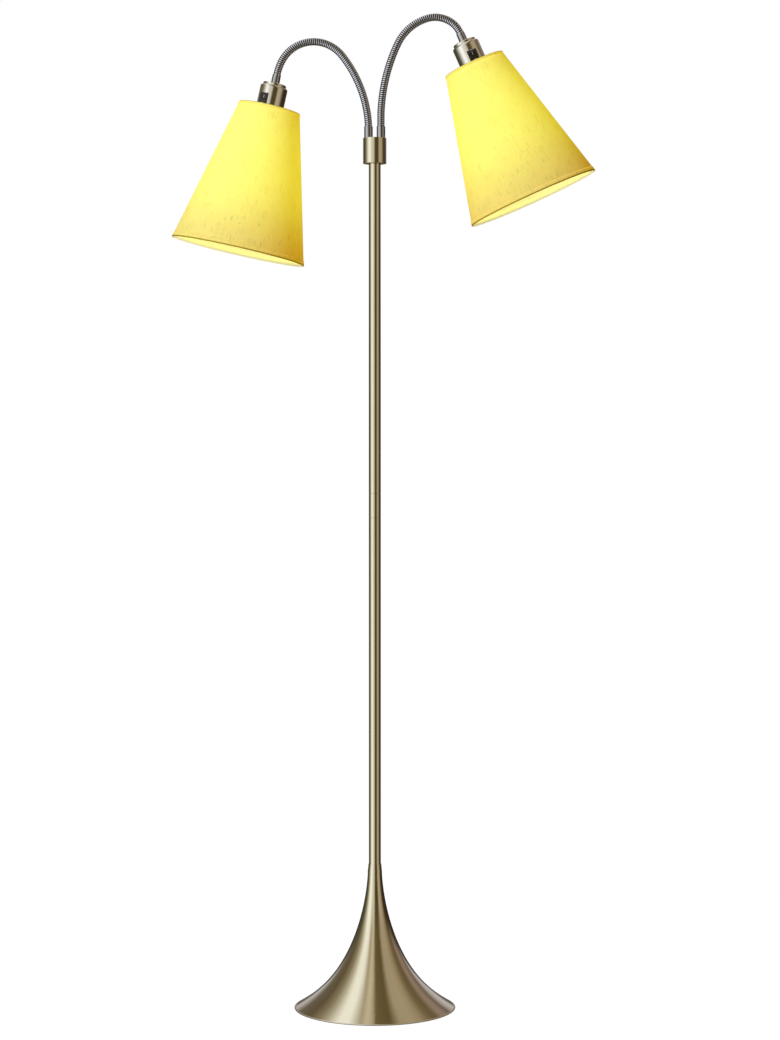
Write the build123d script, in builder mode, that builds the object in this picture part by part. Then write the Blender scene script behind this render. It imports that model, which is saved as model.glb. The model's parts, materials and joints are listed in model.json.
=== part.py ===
from build123d import *
import os
from math import cos, radians, sin

# Two-arm floor lamp: a trumpet foot, a pole in two lengths, a collar with two goosenecks,
# and at the end of each a switched lampholder with a conical fabric shade.
# Millimetres, +Z up, the origin on the floor under the middle of the foot.

os.makedirs("parts", exist_ok=True)

# Fits and cuts that every piece shares
slide_gap = 0.05  # round pieces that turn or slide in each other
seat_gap = 0.2  # moulded, spun and cast pieces that drop into each other
running_gap = 0.1  # flat faces that turn on each other
overrun = 5.0  # how far a cut runs past the surface
edge_break = 0.3  # broken edge on turned metal

# Foot
foot_radius = 121.5
foot_height = 209.5
foot_wall = 1.2
foot_flange = 3.0
rim_lift = 1.0
neck_ring_height = 9.0
neck_ring_wall = 1.4
neck_ring_top_wall = 0.6
neck_step = 0.3
# The trumpet's outline from neck to rim: shares of its flare, and of its height
flare_out_shares = (0.0, 0.0, 0.134, 0.607, 1.0)
flare_up_shares = (1.0, 0.838, 0.304, 0.123, 0.0)
pad_thickness = 2.0
pad_inset = 7.0
weight_height = 26.0
weight_gap = 0.3
recess_radius = 22.0
base_nut_width = 19.0
base_nut_height = 6.0
base_washer_radius = 18.0
base_washer_thickness = 2.0
tie_radius = 6.5
tie_bore = 5.2
tie_tail = 3.0
recess_room = 2.5
lead_bush_radius = 5.4
lead_bush_bore = 3.6
lead_bush_length = 18.0
lead_bush_setback = 6.0

# Pole
pole_radius = 9.0
pole_wall = 1.2
lower_pole_length = 531.0
upper_pole_length = 492.5
coupling_length = 36.0
spigot_length = 28.0
pole_bush_length = 24.0
lead_way_radius = 5.2

# Arm collar
collar_radius = 17.6
collar_height = 38.0
collar_wall = 1.6
collar_top = 5.0
collar_fillet = 0.6
plug_thickness = 8.0
arm_spacing = 18.6
grub_radius = 2.0
grub_length = 6.0
grub_sink = 0.4
block_length = 25.2
block_width = 12.0
block_height = 11.0
block_fillet = 1.0
block_entry_depth = 5.0

# Ferrules and goosenecks
ferrule_radius = 6.5
ferrule_length = 17.4
ferrule_fillet = 0.8
head_ferrule_length = 14.0
head_ferrule_mouth_radius = 6.2
ferrule_socket = 12.0
spigot_radius = 4.0
ferrule_spigot_length = 14.0
head_spigot_length = 10.0
arm_nut_width = 11.0
arm_nut_height = 5.0
gooseneck_radius = 5.7
gooseneck_root_radius = 4.9
gooseneck_bore = 3.4
rib_pitch = 2.85
# Where each rib's four circles stand within its pitch
rib_place_shares = (0.06, 0.3, 0.7, 0.94)
flex_radius = 2.2
flex_gap = 0.3

# Each arm's line, from the lower ferrule to the upper: a straight rise, bends, a straight end
left_rise = 0.5
left_bend_radii = (60.0, 181.0, 53.7, 77.7)
left_bend_turns = (4.0, 34.9, 113.5, 15.0)
left_end_run = 1.0
left_switch_turn = -34.0
right_rise = 11.1
right_bend_radii = (260.9, 72.3, 42.7, 36.0)
right_bend_turns = (25.1, 46.9, 51.5, 32.4)
right_end_run = 1.0
right_switch_turn = 9.0

# Lampholder, measured down its axis from the top of its cap
cap_radius = 17.4
cap_height = 4.0
cap_plate = 2.5
cap_wall = 2.0
cap_flange_height = 2.2
cap_fillet = 1.2
cover_radius = 20.6
cover_wall = 1.0
cover_length = 46.0
cover_lip = 1.2
cover_fillet = 3.0
cover_inner_fillet = 1.6
window_width = 15.0
window_height = 24.0
window_drop = 13.5
frame_depth = 11.0
frame_proud = 0.6
frame_fillet = 0.5
rocker_reach = 9.8
rocker_width = 10.0
rocker_back = 1.4
rocker_front = 3.2
rocker_dish = 1.0
rocker_gap = 0.35
rocker_sink = 2.9
rocker_tilt = 9.0
rocker_pin_radius = 1.2
rocker_pin_length = 1.4
rocker_fillet = 0.4
pocket_room = 2.4
core_collar = 6.0
core_flange = 2.0
core_skirt_radius = 19.3
core_skirt_length = 26.0
core_bore = 14.0
core_roof = 10.0
shell_wall = 0.5
shell_length = 20.0
shell_drop = 2.0
contact_width = 6.0
contact_thickness = 0.5
contact_length = 15.0
contact_drop = 3.0
ring_radius = 27.0
ring_thickness = 7.0
ring_fillet = 1.5
ring_drop = 2.0

# Shade
shade_top_radius = 46.0
shade_radius = 100.5
shade_height = 218.0
shade_wall = 0.9
shade_drop = 36.8
hem_thickness = 0.5
top_hem_height = 3.0
hem_height = 6.5
hem_gap = 0.05
wire_radius = 1.6
hoop_inset = 3.0
fitter_margin = 3.6
fitter_thickness = 2.0
spoke_count = 3
spoke_start = 40.0

# Bulb
bulb_radius = 30.0
bulb_neck_radius = 14.0
bulb_wall = 1.0
bulb_thread_radius = 13.0
bulb_cap_length = 25.0
bulb_tip_radius = 4.5
bulb_tip_height = 1.7
bulb_cone_height = 3.0
bulb_cone_radius = 11.5
bulb_neck_length = 47.0
# Where the neck's curve leaves the cap, and reaches the globe, as shares of the neck
neck_leave_share = 0.36
neck_reach_share = 0.53

# Heights that follow from the sizes above
neck_radius = pole_radius + neck_ring_wall + neck_step
coupling_bottom = foot_height + lower_pole_length
coupling_top = coupling_bottom + coupling_length
collar_bottom = coupling_top + upper_pole_length
collar_top_height = collar_bottom + collar_height
collar_roof = collar_top_height - collar_top
plug_top = collar_bottom + plug_thickness
pole_bore = pole_radius - pole_wall
spigot_fit = pole_bore - slide_gap
recess_height = tie_tail + base_nut_height + base_washer_thickness + recess_room
recess_roof = pad_thickness + recess_height
tie_bottom = recess_roof - base_washer_thickness - base_nut_height - tie_tail
lead_height = pad_thickness + seat_gap + lead_bush_radius
lead_arch = lead_bush_radius + seat_gap

# A plane that stands upright and faces the back of the lamp
back = Plane(origin=(0, 0, 0), x_dir=(-1, 0, 0), z_dir=(0, 1, 0))


def save(piece, name):
    """Label a finished piece and write its file."""
    piece.label = name
    export_step(piece, f"parts/{name}.step")


def flare(inset):
    """The trumpet's control points, drawn in and down by the inset."""
    out = foot_radius - neck_radius
    rise = foot_height - rim_lift
    shares = zip(flare_out_shares, flare_up_shares)
    return [(neck_radius + a * out - inset, rim_lift + b * rise - inset) for a, b in shares]


def flare_section(inset):
    """The half section between the axis and the trumpet's outline, for a revolve."""
    points = flare(inset)
    top, rim = points[0], points[-1]
    with BuildSketch(Plane.XZ) as section:
        with BuildLine():
            Bezier(*points)
            Polyline(rim, (0, rim[1]), (0, top[1]), top)
        make_face()
    return section.sketch


def lead_channel(start):
    """The arch-shaped way of the mains lead: open below, as wide as its bush."""
    with BuildSketch(back.offset(start)) as channel:
        with Locations((0, lead_height)):
            Circle(lead_arch)
            Rectangle(2 * lead_arch, lead_height + overrun, align=(Align.CENTER, Align.MAX))
    return channel.sketch


# Foot: spun shell with a flange for the pole and a notch at the back for the lead
with BuildPart() as base_bell:
    revolve(flare_section(0), axis=Axis.Z)
    revolve(flare_section(foot_wall), axis=Axis.Z, mode=Mode.SUBTRACT)
    with BuildSketch(Plane.XY.offset(foot_height - foot_flange)):
        Circle(neck_radius - foot_wall / 2)
    extrude(amount=foot_flange)
    with BuildSketch(Plane.XY.offset(foot_height)):
        Circle(tie_radius + seat_gap)
    extrude(amount=-(foot_flange + overrun), mode=Mode.SUBTRACT)
    extrude(lead_channel(recess_radius), amount=foot_radius, mode=Mode.SUBTRACT)
save(base_bell.part, "base_bell")

with BuildPart() as neck_ring:
    with BuildSketch(Plane.XZ):
        with BuildLine():
            Polyline(
                (pole_radius + slide_gap, foot_height),
                (pole_radius + neck_ring_wall, foot_height),
                (pole_radius + neck_ring_top_wall, foot_height + neck_ring_height),
                (pole_radius + slide_gap, foot_height + neck_ring_height),
                close=True,
            )
        make_face()
    revolve(axis=Axis.Z)
save(neck_ring.part, "neck_ring")

# Ballast: cast to the inside of the foot, with a recess for the nut and a way for the lead
with BuildPart() as base_weight:
    with BuildSketch(Plane.XY.offset(pad_thickness)):
        Circle(foot_radius)
    extrude(amount=weight_height)
    revolve(flare_section(foot_wall + weight_gap), axis=Axis.Z, mode=Mode.INTERSECT)
    with BuildSketch(Plane.XY.offset(pad_thickness)):
        Circle(recess_radius)
    extrude(amount=recess_height, mode=Mode.SUBTRACT)
    with BuildSketch(Plane.XY.offset(pad_thickness)):
        Circle(tie_radius + seat_gap)
    extrude(amount=weight_height + overrun, mode=Mode.SUBTRACT)
    extrude(lead_channel(0), amount=foot_radius, mode=Mode.SUBTRACT)
save(base_weight.part, "base_weight")

with BuildPart() as base_pad:
    with BuildSketch():
        Circle(foot_radius - pad_inset)
    extrude(amount=pad_thickness)
save(base_pad.part, "base_pad")

with BuildPart() as tie_tube:
    with BuildSketch(Plane.XY.offset(tie_bottom)):
        Circle(tie_radius)
        Circle(tie_bore, mode=Mode.SUBTRACT)
    extrude(amount=foot_height + pole_bush_length - tie_bottom)
save(tie_tube.part, "tie_tube")

with BuildPart() as base_washer:
    with BuildSketch(Plane.XY.offset(recess_roof)):
        Circle(base_washer_radius)
        Circle(tie_radius + seat_gap, mode=Mode.SUBTRACT)
    extrude(amount=-base_washer_thickness)
save(base_washer.part, "base_washer")

with BuildPart() as base_nut:
    with BuildSketch(Plane.XY.offset(recess_roof - base_washer_thickness)):
        RegularPolygon(base_nut_width / 2, 6, major_radius=False)
        Circle(tie_radius + slide_gap, mode=Mode.SUBTRACT)
    extrude(amount=-base_nut_height)
save(base_nut.part, "base_nut")

lead_bush_end = foot_radius - lead_bush_setback
with BuildPart() as cable_bush:
    with BuildSketch(back.offset(lead_bush_end)):
        with Locations((0, lead_height)):
            Circle(lead_bush_radius)
            Circle(lead_bush_bore, mode=Mode.SUBTRACT)
    extrude(amount=-lead_bush_length)
    outer_edge = cable_bush.faces().sort_by(Axis.Y)[-1].edges().sort_by(SortBy.RADIUS)[-1]
    chamfer(outer_edge, edge_break)
save(cable_bush.part, "cable_bush")


# Pole: two tubes, the bush that takes the tie tube, and the flush coupling
def make_tube(bottom, length):
    """A pole tube whose broken outer ends leave a hairline where it meets its neighbour."""
    with BuildPart() as tube:
        with BuildSketch(Plane.XY.offset(bottom)):
            Circle(pole_radius)
            Circle(pole_bore, mode=Mode.SUBTRACT)
        extrude(amount=length)
        ends = tube.edges().filter_by(GeomType.CIRCLE).group_by(SortBy.RADIUS)[-1]
        chamfer(ends, edge_break)
    return tube.part


save(make_tube(foot_height, lower_pole_length), "lower_pole")
save(make_tube(coupling_top, upper_pole_length), "upper_pole")

with BuildPart() as pole_bush:
    with BuildSketch(Plane.XY.offset(foot_height)):
        Circle(spigot_fit)
        Circle(tie_radius + slide_gap, mode=Mode.SUBTRACT)
    extrude(amount=pole_bush_length)
save(pole_bush.part, "pole_bush")

with BuildPart() as pole_coupling:
    with BuildSketch(Plane.XY.offset(coupling_bottom)):
        Circle(pole_radius)
    extrude(amount=coupling_length)
    chamfer(pole_coupling.edges().filter_by(GeomType.CIRCLE), edge_break)
    with BuildSketch(Plane.XY.offset(coupling_bottom - spigot_length)):
        Circle(spigot_fit)
    extrude(amount=coupling_length + 2 * spigot_length)
    with BuildSketch(Plane.XY.offset(coupling_bottom - spigot_length)):
        Circle(lead_way_radius)
    extrude(amount=coupling_length + 2 * spigot_length, mode=Mode.SUBTRACT)
save(pole_coupling.part, "pole_coupling")

# Arm collar: a cup over a turned plug, held by a grub screw at the back
collar_bore = collar_radius - collar_wall
arm_places = ((-arm_spacing / 2, 0), (arm_spacing / 2, 0))
grub_height = collar_bottom + plug_thickness / 2
with BuildPart() as arm_collar:
    with BuildSketch(Plane.XY.offset(collar_bottom)):
        Circle(collar_radius)
    extrude(amount=collar_height)
    rims = arm_collar.edges().filter_by(GeomType.CIRCLE)
    fillet(rims, collar_fillet)
    with BuildSketch(Plane.XY.offset(collar_bottom)):
        Circle(collar_bore)
    extrude(amount=collar_height - collar_top, mode=Mode.SUBTRACT)
    with BuildSketch(Plane.XY.offset(collar_roof)):
        with Locations(*arm_places):
            Circle(spigot_radius + slide_gap)
    extrude(amount=collar_top, mode=Mode.SUBTRACT)
    with BuildSketch(back):
        with Locations((0, grub_height)):
            Circle(grub_radius + slide_gap)
    extrude(amount=collar_radius, mode=Mode.SUBTRACT)
save(arm_collar.part, "arm_collar")

grub_start = collar_radius - grub_sink - grub_length
with BuildPart() as collar_plug:
    with BuildSketch(Plane.XY.offset(collar_bottom)):
        Circle(collar_bore - slide_gap)
    extrude(amount=plug_thickness)
    with BuildSketch(Plane.XY.offset(collar_bottom)):
        Circle(spigot_fit)
    extrude(amount=-spigot_length)
    with BuildSketch(Plane.XY.offset(collar_bottom - spigot_length)):
        Circle(lead_way_radius)
    extrude(amount=spigot_length + plug_thickness, mode=Mode.SUBTRACT)
    with BuildSketch(back.offset(grub_start)):
        with Locations((0, grub_height)):
            Circle(grub_radius + slide_gap)
    extrude(amount=collar_radius, mode=Mode.SUBTRACT)
save(collar_plug.part, "collar_plug")

with BuildPart() as collar_screw:
    with BuildSketch(back.offset(grub_start)):
        with Locations((0, grub_height)):
            Circle(grub_radius)
    extrude(amount=grub_length)
    with BuildSketch(back.offset(grub_start + grub_length)):
        with Locations((0, grub_height)):
            RegularPolygon(grub_radius / 2, 6)
    extrude(amount=-grub_length / 2, mode=Mode.SUBTRACT)
save(collar_screw.part, "collar_screw")

# Terminal block on the plug, where the flexes of both arms end
block_top = plug_top + block_height
with BuildPart() as terminal_block:
    with BuildSketch(Plane.XY.offset(plug_top)):
        RectangleRounded(block_length, block_width, block_fillet)
    extrude(amount=block_height)
    with BuildSketch(Plane.XY.offset(block_top)):
        with Locations(*arm_places):
            Circle(flex_radius + flex_gap)
    extrude(amount=-block_entry_depth, mode=Mode.SUBTRACT)
save(terminal_block.part, "terminal_block")

# Lampholder, built upright with the top of its cap at the origin and its switch facing +X
flex_hole = flex_radius + flex_gap
gooseneck_hole = gooseneck_radius + running_gap
cover_top = -cap_height
cover_bottom = cover_top - cover_length
cover_bore = cover_radius - cover_wall
cap_flange_top = cover_top - cover_lip - running_gap

with BuildPart() as head_ferrule:
    with BuildSketch():
        Circle(ferrule_radius)
    with BuildSketch(Plane.XY.offset(head_ferrule_length)):
        Circle(head_ferrule_mouth_radius)
    loft()
    mouth = head_ferrule.faces().sort_by(Axis.Z)[-1]
    fillet(mouth.edges(), min(edge_break, head_ferrule_mouth_radius - gooseneck_hole))
    with BuildSketch():
        Circle(spigot_radius)
    extrude(amount=-head_spigot_length)
    with BuildSketch(Plane.XY.offset(head_ferrule_length)):
        Circle(gooseneck_hole)
    extrude(amount=-ferrule_socket, mode=Mode.SUBTRACT)
    with BuildSketch(Plane.XY.offset(-head_spigot_length)):
        Circle(flex_hole)
    extrude(amount=head_spigot_length + head_ferrule_length, mode=Mode.SUBTRACT)

with BuildPart() as head_nut:
    with BuildSketch(Plane.XY.offset(-cap_plate)):
        RegularPolygon(arm_nut_width / 2, 6, major_radius=False)
        Circle(spigot_radius + slide_gap, mode=Mode.SUBTRACT)
    extrude(amount=-arm_nut_height)

with BuildPart() as holder_cap:
    with BuildSketch():
        Circle(cap_radius)
    extrude(amount=cap_flange_top - cap_flange_height)
    with BuildSketch(Plane.XY.offset(cap_flange_top)):
        Circle(cover_bore - seat_gap)
    extrude(amount=-cap_flange_height)
    flange_edges = holder_cap.edges().filter_by(GeomType.CIRCLE).group_by(SortBy.RADIUS)[-1]
    fillet(flange_edges.sort_by(Axis.Z)[-1], cover_inner_fillet)
    fillet(holder_cap.faces().sort_by(Axis.Z)[-1].edges(), cap_fillet)
    with BuildSketch(Plane.XY.offset(-cap_plate)):
        Circle(cap_radius - cap_wall)
    extrude(amount=-(cap_height + cap_flange_height + overrun), mode=Mode.SUBTRACT)
    with BuildSketch():
        Circle(spigot_radius + slide_gap)
    extrude(amount=-(cap_plate + overrun), mode=Mode.SUBTRACT)

# The cover hangs by its lip on the cap's flange, and its window holds the switch
window_top = cover_top - window_drop
window_middle = window_top - window_height / 2
with BuildPart() as holder_cover:
    with BuildSketch(Plane.XY.offset(cover_top)):
        Circle(cover_radius)
    extrude(amount=-cover_length)
    fillet(holder_cover.faces().sort_by(Axis.Z)[-1].edges(), cover_fillet)
    with BuildSketch(Plane.XY.offset(cover_bottom)):
        Circle(cover_bore)
    extrude(amount=cover_length - cover_lip, mode=Mode.SUBTRACT)
    roof = holder_cover.faces().filter_by(GeomType.PLANE).sort_by(Axis.Z)[-2]
    fillet(roof.outer_wire().edges(), cover_inner_fillet)
    with BuildSketch(Plane.XY.offset(cover_top)):
        Circle(cap_radius + seat_gap)
    extrude(amount=-(cover_lip + overrun), mode=Mode.SUBTRACT)
    with BuildSketch(Plane.YZ):
        with Locations((0, window_middle)):
            Rectangle(window_width, window_height)
    extrude(amount=cover_radius + overrun, mode=Mode.SUBTRACT)

# Switch: a moulded frame flush in the window, and a rocker on two short pins
frame_front = cover_bore - seat_gap + frame_proud - cover_wall / 2
pivot_out = frame_front - rocker_sink
pocket_half = rocker_reach + rocker_gap
pocket_width = rocker_width + 2 * rocker_gap
with BuildPart() as switch_frame:
    with BuildSketch(Plane.YZ.offset(frame_front)):
        with Locations((0, window_middle)):
            Rectangle(window_width - 2 * seat_gap, window_height - 2 * seat_gap)
    extrude(amount=-frame_depth)
    fillet(switch_frame.faces().sort_by(Axis.X)[-1].edges(), frame_fillet)
    with BuildSketch(Plane.YZ.offset(frame_front)):
        with Locations((0, window_middle)):
            Rectangle(pocket_width, 2 * pocket_half)
    extrude(amount=-(rocker_sink + rocker_back + pocket_room), mode=Mode.SUBTRACT)
    with BuildSketch(Plane.XZ):
        with Locations((pivot_out, window_middle)):
            Circle(rocker_pin_radius + slide_gap)
    pin_room = rocker_width / 2 + rocker_pin_length + rocker_gap
    extrude(amount=pin_room, both=True, mode=Mode.SUBTRACT)

# The rocker's ends are arcs about its pivot, and its face is dished; it rests pressed in at ON
rocker_plane = Plane(
    origin=(pivot_out, 0, window_middle),
    x_dir=(cos(radians(rocker_tilt)), 0, sin(radians(rocker_tilt))),
    z_dir=(0, -1, 0),
)
with BuildPart() as switch_rocker:
    with BuildSketch(rocker_plane) as rocker_side:
        Circle(rocker_reach)
        with BuildLine():
            Polyline(
                (-rocker_back, -rocker_reach),
                (rocker_front + rocker_dish, -rocker_reach),
                (rocker_front, 0),
                (rocker_front + rocker_dish, rocker_reach),
                (-rocker_back, rocker_reach),
                close=True,
            )
        make_face(mode=Mode.INTERSECT)
        fillet(rocker_side.vertices().sort_by(Axis.X)[-2:], rocker_fillet)
    extrude(amount=rocker_width / 2, both=True)
    with BuildSketch(rocker_plane):
        Circle(rocker_pin_radius)
    extrude(amount=rocker_width / 2 + rocker_pin_length, both=True)

# Socket: insulator with the threaded skirt, screw shell and spring contact
flange_bottom = cover_bottom - core_flange
skirt_bottom = flange_bottom - core_skirt_length
core_top = cover_bottom + core_collar
socket_roof = core_top - core_roof
with BuildPart() as socket_core:
    with BuildSketch(Plane.XY.offset(core_top)):
        Circle(cover_bore - seat_gap)
    extrude(amount=-core_collar)
    with BuildSketch(Plane.XY.offset(cover_bottom)):
        Circle(cover_radius)
    extrude(amount=-core_flange)
    with BuildSketch(Plane.XY.offset(flange_bottom)):
        Circle(core_skirt_radius)
    extrude(amount=-core_skirt_length)
    chamfer(socket_core.faces().sort_by(Axis.Z)[0].edges(), edge_break)
    with BuildSketch(Plane.XY.offset(socket_roof)):
        Circle(core_bore)
    extrude(amount=skirt_bottom - socket_roof, mode=Mode.SUBTRACT)

shell_radius = core_bore - seat_gap
with BuildPart() as screw_shell:
    with BuildSketch(Plane.XY.offset(socket_roof - shell_drop)):
        Circle(shell_radius)
        Circle(shell_radius - shell_wall, mode=Mode.SUBTRACT)
    extrude(amount=-shell_length)

contact_tip = socket_roof - contact_drop
with BuildPart() as centre_contact:
    with BuildSketch(Plane.XZ):
        with BuildLine():
            Polyline(
                (-contact_length / 2, socket_roof),
                (0, socket_roof),
                (contact_length / 2, contact_tip + contact_thickness),
                (contact_length / 2, contact_tip),
                (0, socket_roof - contact_thickness),
                (-contact_length / 2, socket_roof - contact_thickness),
                close=True,
            )
        make_face()
    extrude(amount=contact_width / 2, both=True)

# Shade clamp: one threaded ring above the fitter and one below
upper_ring_top = flange_bottom - ring_drop
fitter_top = upper_ring_top - ring_thickness
fitter_bottom = fitter_top - fitter_thickness
with BuildPart() as shade_rings:
    for ring_top in (upper_ring_top, fitter_bottom):
        with BuildSketch(Plane.XY.offset(ring_top)):
            Circle(ring_radius)
            Circle(core_skirt_radius + seat_gap, mode=Mode.SUBTRACT)
        extrude(amount=-ring_thickness, mode=Mode.ADD)
    outer = shade_rings.edges().filter_by(GeomType.CIRCLE).group_by(SortBy.RADIUS)[-1]
    fillet(outer, ring_fillet)

# Shade: a cone of laminated fabric on two wire hoops, with folded hem tapes
shade_top = -shade_drop
shade_bottom = shade_top - shade_height
shade_slope = (shade_radius - shade_top_radius) / shade_height


def cone_radius(height, inset):
    """Radius of the shade's cone at a height, drawn in by the inset."""
    return shade_top_radius + (shade_top - height) * shade_slope - inset


def cone_band(top, bottom, outside, inside):
    """The section of a band of the cone, between two insets from its outer face."""
    with BuildSketch(Plane.XZ) as band:
        with BuildLine():
            Polyline(
                (cone_radius(top, outside), top),
                (cone_radius(bottom, outside), bottom),
                (cone_radius(bottom, inside), bottom),
                (cone_radius(top, inside), top),
                close=True,
            )
        make_face()
    return band.sketch


with BuildPart() as shade:
    revolve(cone_band(shade_top, shade_bottom, 0, shade_wall), axis=Axis.Z)

# Each hem lies on the outside of the cone and folds over its edge
hem_outside = -hem_gap - hem_thickness
hem_top = shade_top + hem_thickness
hem_bottom = shade_bottom - hem_thickness
with BuildPart() as shade_hems:
    revolve(cone_band(hem_top, shade_top - top_hem_height, hem_outside, -hem_gap), axis=Axis.Z)
    revolve(cone_band(hem_top, shade_top + hem_gap, hem_outside, shade_wall), axis=Axis.Z)
    revolve(cone_band(shade_bottom + hem_height, hem_bottom, hem_outside, -hem_gap), axis=Axis.Z)
    revolve(cone_band(shade_bottom - hem_gap, hem_bottom, hem_outside, shade_wall), axis=Axis.Z)

hoop_seat = shade_wall + hem_gap + wire_radius * (1 + shade_slope)
hoop_height = shade_bottom + hoop_inset
top_hoop_height = shade_top - hoop_inset
with BuildPart() as shade_hoop:
    with BuildSketch(Plane.XZ):
        with Locations((cone_radius(hoop_height, hoop_seat), hoop_height)):
            Circle(wire_radius)
    revolve(axis=Axis.Z)

# Fitter: flat ring for the clamp, three spokes and the top hoop, welded together
top_hoop_radius = cone_radius(top_hoop_height, hoop_seat)
fitter_radius = ring_radius + fitter_margin
spoke_foot_radius = fitter_radius - wire_radius
spoke_foot_height = fitter_top - fitter_thickness / 2
with BuildPart() as shade_fitter:
    with BuildSketch(Plane.XY.offset(fitter_top)):
        Circle(fitter_radius)
        Circle(core_skirt_radius + seat_gap, mode=Mode.SUBTRACT)
    extrude(amount=-fitter_thickness)
    with BuildSketch(Plane.XZ):
        with Locations((top_hoop_radius, top_hoop_height)):
            Circle(wire_radius)
    revolve(axis=Axis.Z)
    for number in range(spoke_count):
        turn = radians(spoke_start + number * 360 / spoke_count)
        outward = Vector(cos(turn), sin(turn), 0)
        foot = outward * spoke_foot_radius + Vector(0, 0, spoke_foot_height)
        head = outward * top_hoop_radius + Vector(0, 0, top_hoop_height)
        with BuildSketch(Plane(origin=foot, z_dir=head - foot)):
            Circle(wire_radius)
        extrude(amount=(head - foot).length)

# Bulb: screw cap and globe
tip_height = contact_tip - running_gap
bulb_cap_bottom = tip_height - bulb_cap_length
globe_middle = bulb_cap_bottom - bulb_neck_length
with BuildPart() as bulb_cap:
    with BuildSketch(Plane.XZ):
        cone_top = tip_height - bulb_tip_height
        with BuildLine():
            Polyline(
                (0, tip_height),
                (bulb_tip_radius, tip_height),
                (bulb_tip_radius, cone_top),
                (bulb_cone_radius, cone_top - bulb_cone_height),
                (bulb_thread_radius, cone_top - bulb_cone_height),
                (bulb_thread_radius, bulb_cap_bottom),
                (0, bulb_cap_bottom),
                close=True,
            )
        make_face()
    revolve(axis=Axis.Z)


def globe_outline(inset):
    """Half the globe's outline from the cap to its lowest point, drawn in by the inset."""
    neck = bulb_neck_radius - inset
    globe = bulb_radius - inset
    Bezier(
        (neck, bulb_cap_bottom),
        (neck, bulb_cap_bottom - neck_leave_share * bulb_neck_length),
        (globe, bulb_cap_bottom - neck_reach_share * bulb_neck_length),
        (globe, globe_middle),
    )
    RadiusArc((globe, globe_middle), (0, globe_middle - globe), globe)


with BuildPart() as bulb_globe:
    with BuildSketch(Plane.XZ):
        with BuildLine():
            globe_outline(0)
            Line((0, globe_middle - bulb_radius), (0, globe_middle - bulb_radius + bulb_wall))
            globe_outline(bulb_wall)
            Line((bulb_neck_radius - bulb_wall, bulb_cap_bottom), (bulb_neck_radius, bulb_cap_bottom))
        make_face()
    revolve(axis=Axis.Z)

head_pieces = {
    "head_ferrule": head_ferrule,
    "head_nut": head_nut,
    "holder_cap": holder_cap,
    "holder_cover": holder_cover,
    "switch_frame": switch_frame,
    "switch_rocker": switch_rocker,
    "socket_core": socket_core,
    "screw_shell": screw_shell,
    "centre_contact": centre_contact,
    "shade_rings": shade_rings,
    "shade_fitter": shade_fitter,
    "shade_hoop": shade_hoop,
    "shade": shade,
    "shade_hems": shade_hems,
    "bulb_cap": bulb_cap,
    "bulb_globe": bulb_globe,
}


# Arms: ferrule and nut in the collar, the gooseneck, and the flex inside it
def make_ferrule(place):
    """Turned sleeve that stands on the collar, with a threaded spigot through its roof."""
    shoulder = collar_top_height + running_gap
    mouth_height = collar_top_height + ferrule_length
    with BuildPart() as ferrule:
        with BuildSketch(Plane.XY.offset(shoulder)):
            with Locations(place):
                Circle(ferrule_radius)
        extrude(amount=mouth_height - shoulder)
        mouth_edges = ferrule.faces().sort_by(Axis.Z)[-1].edges()
        fillet(mouth_edges, min(ferrule_fillet, ferrule_radius - gooseneck_hole) / 2)
        with BuildSketch(Plane.XY.offset(shoulder)):
            with Locations(place):
                Circle(spigot_radius)
        extrude(amount=-ferrule_spigot_length)
        with BuildSketch(Plane.XY.offset(mouth_height)):
            with Locations(place):
                Circle(gooseneck_hole)
        extrude(amount=-ferrule_socket, mode=Mode.SUBTRACT)
        with BuildSketch(Plane.XY.offset(shoulder - ferrule_spigot_length)):
            with Locations(place):
                Circle(flex_hole)
        extrude(amount=ferrule_spigot_length + ferrule_length, mode=Mode.SUBTRACT)
    return ferrule.part


def make_ferrule_nut(place):
    """Hex nut under the collar's roof."""
    with BuildPart() as nut:
        with BuildSketch(Plane.XY.offset(collar_roof - running_gap)):
            with Locations(place):
                RegularPolygon(arm_nut_width / 2, 6, major_radius=False)
                Circle(spigot_radius + slide_gap, mode=Mode.SUBTRACT)
        extrude(amount=-arm_nut_height)
    return nut.part


def arm_route(place, start, rise, radii, turns, end):
    """Line of an arm in the plane of the pole: a rise, tangent bends and a straight end."""
    side = -1 if place[0] > 0 else 1
    with BuildLine(Plane.XZ) as route:
        last = Line((place[0], start), (place[0], start + rise))
        for radius, turn in zip(radii, turns):
            last = JernArc(last @ 1, last % 1, radius, side * turn)
        Line(last @ 1, last @ 1 + (last % 1) * end)
    return route.wire()


def station(route, distance):
    """Plane square to a route at a distance along it, with a steady X axis."""
    origin = route.position_at(distance, position_mode=PositionMode.LENGTH)
    along = route.tangent_at(distance, position_mode=PositionMode.LENGTH)
    return Plane(origin=origin, x_dir=(0, 1, 0), z_dir=along)


def make_gooseneck(route):
    """Wound tube: ribs along the route, plain ends inside the ferrules, and the bore."""
    ribbed_length = route.length - 2 * ferrule_socket
    ribs = round(ribbed_length / rib_pitch)
    pitch = ribbed_length / ribs
    rib_radii = (gooseneck_root_radius, gooseneck_radius, gooseneck_radius, gooseneck_root_radius)
    circles = [(0, gooseneck_root_radius)]
    for rib in range(ribs):
        for share, radius in zip(rib_place_shares, rib_radii):
            circles.append((ferrule_socket + (rib + share) * pitch, radius))
    circles.append((route.length, gooseneck_root_radius))
    with BuildPart() as gooseneck:
        for distance, radius in circles:
            with BuildSketch(station(route, distance)):
                Circle(radius)
        loft(ruled=True)
        with BuildSketch(station(route, 0)):
            Circle(gooseneck_bore)
        sweep(path=route, mode=Mode.SUBTRACT)
    return gooseneck.part


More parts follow.
